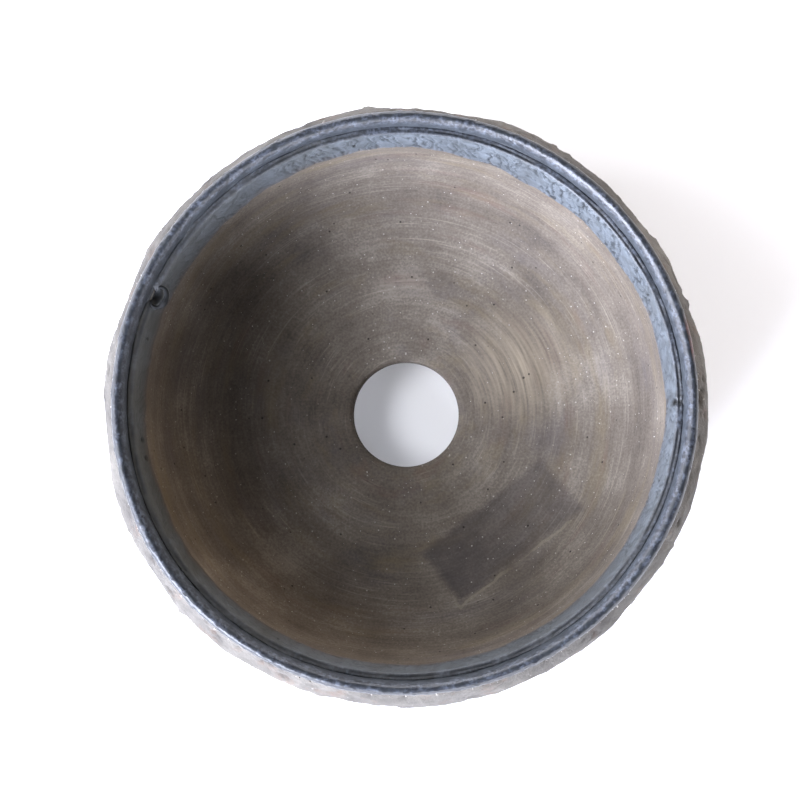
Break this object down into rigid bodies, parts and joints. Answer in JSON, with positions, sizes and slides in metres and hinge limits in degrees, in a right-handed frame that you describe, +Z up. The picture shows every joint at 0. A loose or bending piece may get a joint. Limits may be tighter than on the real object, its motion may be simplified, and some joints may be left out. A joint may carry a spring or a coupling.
{
  "type": "bonsai pot",
  "caption": "Round full-bellied stoneware pot with a glazed rolled lip, a central drain hole in its floor and low feet, for growing a small bonsai.",
  "frame": {"origin": "on the surface the pot stands on, on the pot's axis, at the bottom centre of its bounding box", "axes": "+Z up along the pot's axis, out of its mouth; +Y towards the first foot; +X to the right"},
  "size_m": [0.155, 0.155, 0.0664],
  "materials": {
    "bare_stoneware": "matte",
    "rim_glaze": "gloss"
  },
  "bodies": {
    "root": {"pot_body": "bare_stoneware", "lip_ring": "bare_stoneware", "rim_glaze": "rim_glaze", "foot_1": "bare_stoneware", "foot_2": "bare_stoneware", "foot_3": "bare_stoneware"}
  },
  "joints": []
}
